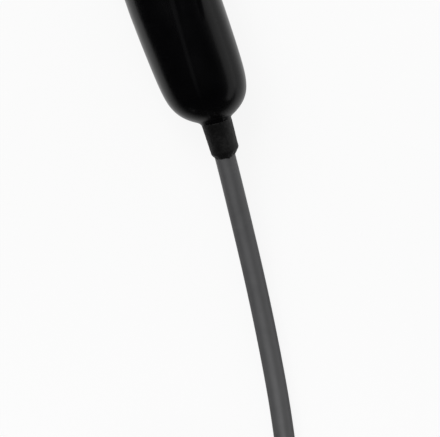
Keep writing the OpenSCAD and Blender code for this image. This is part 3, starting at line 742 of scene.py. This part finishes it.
def flowing(points, first, last, step):
    """Points on one smooth curve through a route, which leaves and ends in these directions
    and never dips below the floor."""
    tangents = [first.normalized()]
    for before, point, after in zip(points, points[1:], points[2:]):
        a, b = point - before, after - point
        tangents.append((a / a.length * b.length + b / b.length * a.length).normalized())
    tangents.append(last.normalized())
    line = [points[0]]
    for a, b, ta, tb in zip(points, points[1:], tangents, tangents[1:]):
        span = (b - a).length
        pieces = max(2, round(span / step))
        for k in range(1, pieces + 1):
            t = k / pieces
            line.append(
                a * (2 * t ** 3 - 3 * t ** 2 + 1) + ta * span * (t ** 3 - 2 * t ** 2 + t)
                + b * (3 * t ** 2 - 2 * t ** 3) + tb * span * (t ** 3 - t ** 2))
    # The rubber evens out what bends the joins of the route leave
    for _ in range(16):
        line[1:-1] = [(a + 2 * b + c) / 4 for a, b, c in zip(line, line[1:], line[2:])]
    for point in line:
        point.z = max(point.z, HOSE_Z)
    return line


def hose_line(step):
    """The whole hose's middle line, from inside the collar to inside the ferrule."""
    loops = [coil_point(COIL_TURNS * k / COIL_STEPS) for k in range(COIL_STEPS + 1)]
    into, out = (loops[1] - loops[0]).normalized(), (loops[-1] - loops[-2]).normalized()
    rise = EXIT_POINT.z - HOSE_Z
    run = [EXIT_POINT + HOSE_ASIDE]
    run += [Vector((x * MM, y * MM, HOSE_Z + z * rise)) for x, y, z in RUN_ROUTE]
    run.append(loops[0] - 2 * HOSE_RADIUS * into)
    tail = [loops[-1] + 2 * HOSE_RADIUS * out]
    for route, lift in ((DROP_ROUTE, COIL_PITCH), (RISE_ROUTE, -HOSE_Z)):
        tail += [Vector((HOSE_END_X + x * MM, y * MM, HOSE_Z + z * lift)) for x, y, z in route]
    tail.append(Vector((HOSE_END_X, 0, 0)))
    # Inside the collar, then on the axis of the plunger unit, over the barb
    start = [NECK_ROOT + HOSE_ASIDE + NECK_DIR * s * MM for s in (8.4, 9.7, 11.0)]
    end = [Vector((x * MM, 0, 0)) for x in (-54.7, -54.2, -53.7, -53.1, -51, -49, -47, -45, -44.1)]
    return (start + flowing(run, NECK_DIR, into, step) + loops
            + flowing(tail, out, Vector((1, 0, 0)), step) + end)


def tube(line, radii, sides):
    """A tube about a line, its rings carried along without twist, with a UV map in metres."""
    turns = [2 * math.pi * s / sides for s in range(sides + 1)]
    side = (line[1] - line[0]).normalized().cross(UP).normalized()
    rings = []
    for before, point, after, radius in zip(line[:1] + line, line, line[1:] + line[-1:], radii):
        along = (after - before).normalized()
        side = (side - along * side.dot(along)).normalized()
        up = side.cross(along)
        rings.append([point + radius * (math.cos(a) * side + math.sin(a) * up) for a in turns[:-1]])
    return skin("hose", rings, [a * HOSE_RADIUS for a in turns], travelled(line), capped=True)


def band(centre, turned, reach, radius, width, wall):
    """A flat rubber band with rounded edges, on edge round a square with rounded corners."""
    across = Vector((math.cos(turned), math.sin(turned), 0))
    along = Vector((-math.sin(turned), math.cos(turned), 0))
    loop = []
    for corner, (x, z) in enumerate(((1, 1), (-1, 1), (-1, -1), (1, -1))):
        at = across * (x * reach[0]) + UP * (z * reach[1])
        for k in range(17):
            a = math.pi / 2 * (corner + k / 16)
            loop.append((at, math.cos(a) * across + math.sin(a) * UP))
    edge = wall * 0.42
    section = []
    for corner, (side, height) in enumerate(((1, wall - edge), (-1, wall - edge), (-1, edge), (1, edge))):
        for k in range(5):
            a = math.radians(90 * corner + 90 * k / 4)
            section.append((side * (width / 2 - edge) + edge * math.cos(a), height + edge * math.sin(a)))
    rings = [[centre + at + along * w + normal * (radius + h) for w, h in section]
             for at, normal in loop]
    return skin("band", rings, looped=True)


def neck_radius(x, aside):
    """The sleeve's outside, a little wider on one side."""
    return COLLAR_RADIUS + (0.36 * MM - 0.05 * x) * aside - 0.045 * MM - 0.01 * x


def drawn_out(point, to_neck):
    """A point of the bulb's skin, drawn out along the neck in a fillet that ends inside the sleeve."""
    local = to_neck @ point
    r = max(1e-6, math.hypot(local.y, local.z))
    aside = (1 - local.y / r) / 2
    clear = r - neck_radius(0, aside) + 0.1 * MM
    fillet = (0.4 + 0.8 * aside) * MM
    if clear > fillet:
        return point
    # Halving a span finds how far
    low, high = 0, 2 * MM
    for _ in range(16):
        middle = (low + high) / 2
        blend = max(0.0, fillet - abs(clear - middle)) / fillet
        if min(clear, middle) < blend * blend * fillet / 4:
            low = middle
        else:
            high = middle
    local.x += low
    return to_neck.inverted() @ local


def lamp(name, place, aim, size, watts, spread=180):
    light = bpy.data.lights.new(name, "AREA")
    light.shape = "RECTANGLE"
    light.size, light.size_y = size
    light.energy = watts
    light.spread = math.radians(spread)
    obj = new_object(name, light)
    obj.location = place
    obj.rotation_euler = (Vector(aim) - Vector(place)).to_track_quat("-Z", "Y").to_euler()
    obj.visible_camera = False


# ---- Operators ----

class AIR_RELEASE_OT_stage(bpy.types.Operator):
    """Sets up the floor, the world, the lamps and the camera"""
    bl_idname = "air_release.stage"
    bl_label = "Stage"

    def execute(self, context):
        settings = context.scene.air_stage
        scene = context.scene
        scene.view_settings.view_transform = "Standard"
        white = (*settings.backdrop, 1)
        scene.world = studio_world(white)

        floor_mesh = bpy.data.meshes.new("floor")
        corners = ((-3, -3), (3, -3), (3, 3), (-3, 3))
        floor_mesh.from_pydata([STAGE_CENTRE + Vector((x, y, FLOOR_Z)) for x, y in corners],
                               [], [(0, 1, 2, 3)])
        floor_mesh.materials.append(painted_board(white))
        floor = new_object("floor", floor_mesh)

        # A black flag beside the bulb, seen only in gloss, keeps that side dark
        flag_mesh = block((6 * MM, -330 * MM, FLOOR_Z + 9.5 * MM), (8 * MM, -95 * MM, 220 * MM))
        flag_mesh.materials.append(black_felt())
        flag = new_object("black_flag", flag_mesh)
        for ray in ("visible_camera", "visible_diffuse", "visible_shadow", "visible_transmission"):
            setattr(flag, ray, False)

        lamp("key_softbox", STAGE_CENTRE + Vector((0.45, -0.7, 0.9)), STAGE_CENTRE, (0.8, 0.8),
             settings.key_power)
        # A low white card on the bulb's bright side
        aside = Vector((-math.sin(BULB_TURN), math.cos(BULB_TURN), 0))
        card = BULB_CENTRE + aside * 0.3 + BULB_DIR * 0.05
        card.z = 0.07
        lamp("side_card", card, card - aside, (0.86, 0.15), settings.card_power)
        # A softbox with a honeycomb grid over the plunger unit
        lamp("unit_softbox", (-0.03, -0.03, 0.35), (-0.03, 0.05, 0), (0.22, 0.22),
             settings.unit_power, spread=40)

        camera = bpy.data.cameras.new("camera")
        camera.sensor_width = SENSOR_WIDTH
        camera.lens = SENSOR_WIDTH * settings.camera_height / VIEW_WIDTH
        camera.clip_start, camera.clip_end = 0.05, 20
        scene.camera = new_object("camera", camera)
        scene.camera.location = (EYE_X, EYE_Y, settings.camera_height)
        scene.camera.rotation_euler = (0, 0, math.pi)
        return {"FINISHED"}


class AIR_RELEASE_OT_hose(bpy.types.Operator):
    """Makes the rubber hose from the collar to the plunger unit, and the band round its coil"""
    bl_idname = "air_release.hose"
    bl_label = "Hose"

    def execute(self, context):
        settings = context.scene.air_hose
        line = hose_line(settings.step)
        radii = []
        for point in line:
            # The last stretch swells where it is pushed over the barb
            on_axis = abs(point.y) < 1e-6 and point.z == 0
            stretch = (point.x - BARB_X) / (1.6 * MM) if on_axis else 0
            radii.append(HOSE_RADIUS + 0.175 * MM * max(0.0, min(1.0, stretch)))
        hose = new_object("air_hose", tube(line, radii, settings.sides))
        dressed(hose, "release", "hose_rubber", hose_rubber(settings),
                "hose_bulb_end", "hose_run", "hose_coil", "hose_tail", "hose_tip_end", sharp=60)

        under, turned = coil_point(TIE_TURN), math.pi * (1 - 2 * TIE_TURN)
        side = math.hypot(under.x - COIL_CENTRE[0], under.y - COIL_CENTRE[1]) - COIL_PITCH / 2
        middle = Vector((COIL_CENTRE[0] + side * math.cos(turned),
                         COIL_CENTRE[1] + side * math.sin(turned), under.z + COIL_PITCH / 2))
        tie = new_object("hose_tie", band(
            middle, turned, (COIL_PITCH / 2 + 0.3 * MM, COIL_PITCH / 2), HOSE_RADIUS + 0.05 * MM,
            TIE_WIDTH, TIE_WALL))
        dressed(tie, "release", "gasket_rubber", sheet_rubber(), "coil_tie", sharp=60)
        return {"FINISHED"}


class AIR_RELEASE_OT_bulb(bpy.types.Operator):
    """Makes the rubber squeeze bulb with its parting line"""
    bl_idname = "air_release.bulb"
    bl_label = "Bulb"

    def execute(self, context):
        settings = context.scene.air_bulb
        steps, around = 88, 144
        # The outline is (x / half length)^10 + r / radius = 1, tapered and with rounder tips
        outline = []
        for k in range(-steps, steps + 1):
            t = math.radians(90 * (k / steps) ** 2)
            x = BULB_HALF * math.sin(t) ** 0.2
            r = BULB_RADIUS * (1 - BULB_TAPER * (x / BULB_HALF) ** 1.5) * math.cos(t) ** 2
            x -= TIP_ROUND * max(0.0, 1 - r / TIP_RADIUS) ** 2
            outline.append((math.copysign(x, k) if k else 0.0, 0.0 if abs(k) == steps else r))
        # Rings stay even but for a few close columns on each side of both parting lines
        half = settings.seam_width / 2 / BULB_RADIUS

        def off_seam(a):
            return min(abs(math.remainder(a - seam, 2 * math.pi)) for seam in (0, math.pi))

        columns = [a for a in (2 * math.pi * k / around for k in range(around))
                   if off_seam(a) > 1.9 * half]
        columns += [(seam + share * half) % (2 * math.pi) for seam in (0, math.pi)
                    for share in (-1.6, -1, -0.66, -0.33, 0, 0.33, 0.66, 1, 1.6)]
        columns.sort()
        to_neck = axis_place(NECK_ROOT, NECK_DIR).inverted()
        rings = []
        for x, r in outline:
            # The two mould halves met slightly askew, and the dome at the neck leans
            skew = settings.seam_angle + math.radians(0.316) * x / MM
            lean = math.tan(settings.dome_lean) * smooth((x / BULB_HALF - 0.4) / 0.5)
            ring = []
            for a in columns if r else [0]:
                ridge = math.cos(min(1.0, off_seam(a) / half) * math.pi / 2) ** 2
                ridge *= settings.seam_height * min(1.0, r / (0.5 * BULB_RADIUS))
                out = r - settings.seam_height + ridge if r else 0
                aside = math.sin(a + skew)
                point = BULB_CENTRE + BULB_DIR * (x - r * aside * lean)
                point += out * (math.cos(a + skew) * UP + aside * BULB_LEFT)
                ring.append(drawn_out(point, to_neck))
            rings.append(ring)
        shell = skin("bulb", rings, [a * BULB_RADIUS for a in [*columns, columns[0] + 2 * math.pi]],
                     [x for x, _ in outline])
        dressed(new_object("squeeze_bulb", shell), "release", "moulded_rubber",
                moulded_rubber(settings), "bulb", sharp=50)
        return {"FINISHED"}


class AIR_RELEASE_OT_collar(bpy.types.Operator):
    """Makes the rough rubber sleeve on the bulb's neck"""
    bl_idname = "air_release.collar"
    bl_label = "Collar"

    def execute(self, context):
        settings = context.scene.air_collar
        sleeve_end, back = COLLAR_END - COLLAR_RIM, COLLAR_BACK + 0.2 * MM
        profile = [(COLLAR_BACK, 0), (COLLAR_BACK, COLLAR_RADIUS - 0.2 * MM),
                   (COLLAR_BACK + 0.06 * MM, COLLAR_RADIUS - 0.06 * MM)]
        profile += [(back + (sleeve_end - back) * k / 40, COLLAR_RADIUS) for k in range(41)]
        rim = COLLAR_RADIUS - HOSE_RADIUS - 0.17 * MM
        profile += [(sleeve_end + COLLAR_RIM * k / 16, COLLAR_RADIUS - rim * (k / 16) ** 1.35)
                    for k in range(1, 17)]
        profile.append((COLLAR_END, 0))
        mesh = lathe(profile, segments=160)
        for vertex in mesh.vertices:
            x, r = vertex.co.x, math.hypot(vertex.co.y, vertex.co.z)
            if r < 1e-6:
                continue
            worn = max(0.0, min(1.0, (sleeve_end + 0.4 * MM - x) / (0.9 * MM)))
            worn *= max(0.0, min(1.0, (x - COLLAR_BACK) / (0.3 * MM)))
            coarse = noise.fractal(vertex.co * 700, 0.6, 2.0, 3)
            lumpy = noise.noise(vertex.co * 210)
            lift = settings.roughening * (0.6 * coarse + 0.5 * lumpy - 0.35) * worn
            aside, above = (1 - vertex.co.y / r) / 2, max(0.0, vertex.co.z / r)
            lift += neck_radius(x, aside) - COLLAR_RADIUS
            if x > sleeve_end:
                # The rim was cut by hand: longer on that side and above, and ragged
                rolled = (x - sleeve_end) / COLLAR_RIM
                first = sleeve_end + 0.4 * MM * aside
                last = COLLAR_END + (0.95 * aside + 0.35 * above - 0.55) * MM
                ragged = noise.fractal(Vector((0, vertex.co.y, vertex.co.z)) * 900, 0.7, 2.0, 3)
                vertex.co.x = first + rolled * (last - first + settings.raggedness * ragged)
                lift += settings.raggedness * 0.5 * ragged * rolled
            vertex.co.yz = vertex.co.yz * (r + lift) / r
        mesh.transform(axis_place(NECK_ROOT, NECK_DIR))
        dressed(new_object("neck_sleeve", mesh), "release", "rough_rubber", rough_rubber(settings),
                "neck_collar", sharp=60)
        return {"FINISHED"}


class AIR_RELEASE_OT_barrel(bpy.types.Operator):
    """Makes the plated barrel with its vent hole, the gasket and the ferrule on the hose"""
    bl_idname = "air_release.barrel"
    bl_label = "Barrel"

    def execute(self, context):
        nickel = plating(context)
        x0, x1 = BARREL_X
        r = BARREL_RADIUS
        outer = [(x0, BARREL_BORE), (x0, r)]
        for centre in (x0 + 1.6 * MM, x1 - 1.6 * MM):
            # A turned line near each end
            outer += [(centre + x * MM, r - depth * MM)
                      for x, depth in ((-0.22, 0), (-0.12, 0.12), (0.12, 0.12), (0.22, 0))]
        outer += [(x1, r), (x1, BARREL_BORE)]
        barrel = new_object("barrel_tube", lathe(rounded(outer, 0.18 * MM), 128, closed=True))
        cut_by(barrel, drill(-2 * MM, 2 * MM, 0.6 * MM, 32, axis_place((VENT_X, -r, 0), (0, -1, 0))))
        dressed(barrel, "release", "nickel", nickel, "barrel")

        low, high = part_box("cap_gasket")
        gasket = new_object("gasket_ring", lathe(rounded([
            (low.x, 4.56 * MM), (low.x, high.z), (high.x, high.z), (high.x, 4.56 * MM)],
            0.12 * MM), closed=True))
        dressed(gasket, "release", "gasket_rubber", sheet_rubber(), "cap_gasket")

        low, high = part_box("hose_ferrule")
        inner = 3.37 * MM
        profile = [(low.x, inner), (low.x, high.z)]
        for k in (1, 2, 3):
            middle = low.x + (high.x - low.x) * k / 4
            profile += [(middle + x * MM, high.z - depth * MM) for x, depth in (
                (-0.55, 0), (-0.4, 0.08), (-0.22, 0.24), (0, 0.3), (0.22, 0.24), (0.4, 0.08), (0.55, 0))]
        profile += [(high.x, high.z), (high.x, inner)]
        ferrule = new_object("crimped_ferrule", lathe(rounded(profile, 0.16 * MM), closed=True))
        dressed(ferrule, "release", "nickel", nickel, "hose_ferrule")
        return {"FINISHED"}


class AIR_RELEASE_OT_caps(bpy.types.Operator):
    """Makes the knurled rear cap and the knurled, coned nose cap"""
    bl_idname = "air_release.caps"
    bl_label = "Caps"

    def execute(self, context):
        ribs = context.scene.air_metal.cap_ribs
        nickel = plating(context)
        core, plug, edge = CAP_CORE, CAP_PLUG, 0.4 * MM

        def finished(name, node, profile, radius, low, high, segments=96, hole=None, gap=0.0):
            cap = new_object(name, lathe(rounded(profile, radius), segments, closed=True))
            if hole:
                cut_by(cap, hole)
            knurled(cap, nickel, ribs, core, (low + high) / 2, high - low - 0.9 * MM,
                    0.52 * MM, 0.33 * MM, gap)
            dressed(cap, "release", "nickel", nickel, node)

        back, front = -43.7 * MM, -38.7 * MM
        barb = mm((-52.7, 0.7), (-52.7, 1.65), (-51, 2.1), (-50.3, 1.75), (-48.6, 2.1),
                  (-47.9, 1.75), (-46.2, 2.1), (-45.5, 1.75))
        finished("rear_cap_body", "rear_cap", barb + [
            (back, 1.75 * MM), (back, core - 0.35 * MM), (back + edge, core), (front - edge, core),
            (front, core - 0.35 * MM), (front, plug), (-34.1 * MM, plug), (-34.1 * MM, 0.7 * MM)],
            0.14 * MM, back, front)

        back, front = BARREL_X[1], -7.5 * MM
        spigot = mm((-4.3, 3.5), (-4.3, 2.3), (-1.2, 2.3), (-1.2, 0.85))
        # The lock's hole goes down to the bore
        hole = drill(0, 8 * MM, 1.05 * MM, 40, axis_place((LOCK_X, 0, 0), UP))
        finished("nose_cap_body", "nose_cap", mm((-16.2, 0.85), (-16.2, 2.2), (-14.6, 2.2)) + [
            (-14.6 * MM, plug), (back, plug), (back, core - 0.35 * MM), (back + edge, core),
            (front - edge, core), (front, core - 0.25 * MM)] + spigot,
            0.16 * MM, back, front, 128, hole, 1.35 * MM)
        return {"FINISHED"}


class AIR_RELEASE_OT_tip(bpy.types.Operator):
    """Makes the finger ring with its tapered thread, and the pin that comes out of it"""
    bl_idname = "air_release.tip"
    bl_label = "Tip and pin"

    def execute(self, context):
        settings = context.scene.air_metal
        nickel = plating(context)
        # The outside with the thread's root, then the bore with the snap ring's groove
        tip = new_object("finger_ring", lathe(rounded(mm(
            (-4, 2.35), (-4, 3.4), (-3.6, 3.7), (-0.4, 3.7), (0, 3.4), (0, 1.8), (0.15, 1.54),
            (4.7, 1.21), (5, 1.1), (5, 0.95), (-0.9, 0.95), (-0.9, 2.35), (-2.65, 2.35),
            (-2.65, 2.7), (-3.15, 2.7), (-3.15, 2.35)), 0.12 * MM), closed=True))
        knurled(tip, nickel, settings.ring_ribs, 3.7 * MM, -2 * MM, 3.2 * MM, 0.5 * MM, 0.3 * MM)
        through_tree(tip, screw_thread, {
            "Turns": 4.3 * MM / settings.thread_pitch, "Start Radius": 1.56 * MM,
            "End Radius": 1.25 * MM, "Thread Length": 4.3 * MM, "Thread Place": 0.35 * MM,
            "Ridge": 0.22 * MM, "Material": nickel})
        dressed(tip, "tip", "nickel", nickel, "threaded_tip", sharp=28)

        low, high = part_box("plunger_rod")
        r, flat = high.z, 0.32 * MM
        nose = high.x - 0.56 * MM
        profile = [(low.x, 0), (low.x, r - 0.2 * MM), (low.x + 0.2 * MM, r), (nose, r)]
        for k in range(1, 9):
            a = math.pi / 2 * k / 8
            profile.append((nose + 0.56 * MM * math.sin(a), flat + (r - flat) * math.cos(a)))
        profile.append((high.x, 0))
        # Ground steel pin: bright, with fine marks round it
        steel = turned_metal("ground spring steel", linear("#9c9ea2"), 0.2, 0.34)
        dressed(new_object("release_pin", lathe(profile, 48)), "plunger", "spring_steel", steel,
                "plunger_rod")
        return {"FINISHED"}


class AIR_RELEASE_OT_lock(bpy.types.Operator):
    """Makes the knurled screw that locks the pin for long exposures"""
    bl_idname = "air_release.lock"
    bl_label = "Lock screw"

    def execute(self, context):
        settings = context.scene.air_metal
        nickel = plating(context)
        low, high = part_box("lock_screw")[0].z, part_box("lock_screw")[1].z
        head, core, root = high - 2.6 * MM, 2.25 * MM, 0.85 * MM
        profile = [(low, 0), (low, 0.45 * MM), (low + 0.4 * MM, 0.45 * MM), (low + 0.4 * MM, root),
                   (head, root), (head, core - 0.3 * MM), (head + 0.35 * MM, core),
                   (high - 0.45 * MM, core), (high - 0.12 * MM, core - 0.3 * MM),
                   (high, 1.2 * MM), (high, 0)]
        screw = new_object("lock_thumbscrew", lathe(rounded(profile, 0.12 * MM), 80))
        slot = block((high - 0.5 * MM, -0.28 * MM, -4 * MM), (high + 1 * MM, 0.28 * MM, 4 * MM))
        cut_by(screw, slot)
        knurled(screw, nickel, settings.screw_ribs, core, head + 1.25 * MM, 1.7 * MM,
                0.46 * MM, 0.25 * MM)
        through_tree(screw, screw_thread, {
            "Turns": 9.0, "Start Radius": 0.84 * MM, "End Radius": 0.84 * MM,
            "Thread Length": head - low - 0.7 * MM, "Thread Place": low + 0.6 * MM,
            "Ridge": 0.15 * MM, "Material": nickel})
        screw.data.transform(
            Matrix.Translation((LOCK_X, 0, 0)) @ Matrix.Rotation(-math.pi / 2, 4, "Y"))
        dressed(screw, "screw", "nickel", nickel, "lock_screw")
        return {"FINISHED"}


class AIR_RELEASE_OT_inside(bpy.types.Operator):
    """Makes the return spring and gives the solids inside the unit their materials"""
    bl_idname = "air_release.inside"
    bl_label = "Inside"

    def execute(self, context):
        # Drawn spring wire: bright grey, with fine die lines
        steel = turned_metal("drawn spring wire", linear("#8d9095"), 0.22, 0.36, pattern="Object")
        low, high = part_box("return_spring")
        wire = 0.5 * MM
        spring = new_object("return_coil_spring", bpy.data.meshes.new("spring"))
        through_tree(spring, coil_spring, {
            "Turns": 8.0, "Front": high.x - wire / 2, "Free Length": high.x - low.x - wire,
            "Coil Radius": high.z - wire / 2, "Wire": wire, "Material": steel})
        dressed(spring, "release", "spring_steel", steel, "return_spring", sharp=60)
        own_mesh(spring)

        # Turned brass: warm yellow, softly tarnished
        brass = turned_metal("turned brass", linear("#b99653"), 0.24, 0.4, pattern="Object")
        leather = cup_leather()
        for node, material in (
                ("bulb_nipple", brass), ("piston", brass), ("cup_washer", brass), ("lock_pad", brass),
                ("piston_cup", leather), ("piston_nut", steel), ("tip_snap_ring", steel)):
            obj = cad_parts[node]
            obj.data.materials.clear()
            obj.data.materials.append(material)
        return {"FINISHED"}


class AIR_RELEASE_PT_panel(bpy.types.Panel):
    """Lists the pieces and their settings"""
    bl_idname = "AIR_RELEASE_PT_panel"
    bl_label = "Air Release"
    bl_space_type = "VIEW_3D"
    bl_region_type = "UI"
    bl_category = "Air Release"

    def draw(self, context):
        for label, group, operators in PANEL_ROWS:
            box = self.layout.box()
            box.label(text=label)
            settings = getattr(context.scene, group)
            for name in settings.__annotations__:
                box.prop(settings, name)
            for operator in operators:
                box.operator(operator)


PANEL_ROWS = (
    ("Stage", "air_stage", ("air_release.stage",)),
    ("Hose", "air_hose", ("air_release.hose",)),
    ("Bulb", "air_bulb", ("air_release.bulb",)),
    ("Collar", "air_collar", ("air_release.collar",)),
    ("Plunger unit", "air_metal", ("air_release.barrel", "air_release.caps", "air_release.tip",
                                   "air_release.lock", "air_release.inside")),
)
GROUPS = {
    "air_stage": StageSettings, "air_hose": HoseSettings, "air_bulb": BulbSettings,
    "air_collar": CollarSettings, "air_metal": MetalSettings,
}
OPERATORS = (
    AIR_RELEASE_OT_stage, AIR_RELEASE_OT_hose, AIR_RELEASE_OT_bulb, AIR_RELEASE_OT_collar,
    AIR_RELEASE_OT_barrel, AIR_RELEASE_OT_caps, AIR_RELEASE_OT_tip, AIR_RELEASE_OT_lock,
    AIR_RELEASE_OT_inside,
)


def register():
    for name, group in GROUPS.items():
        bpy.utils.register_class(group)
        setattr(bpy.types.Scene, name, PointerProperty(type=group))
    for operator in OPERATORS:
        bpy.utils.register_class(operator)
    bpy.utils.register_class(AIR_RELEASE_PT_panel)


def unregister():
    bpy.utils.unregister_class(AIR_RELEASE_PT_panel)
    for operator in reversed(OPERATORS):
        bpy.utils.unregister_class(operator)
    for name, group in reversed(GROUPS.items()):
        delattr(bpy.types.Scene, name)
        bpy.utils.unregister_class(group)


def main():
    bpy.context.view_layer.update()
    register()
    for _, _, operators in PANEL_ROWS:
        for name in operators:
            group, operator = name.split(".")
            getattr(getattr(bpy.ops, group), operator)()


if __name__ == "__main__":
    main()
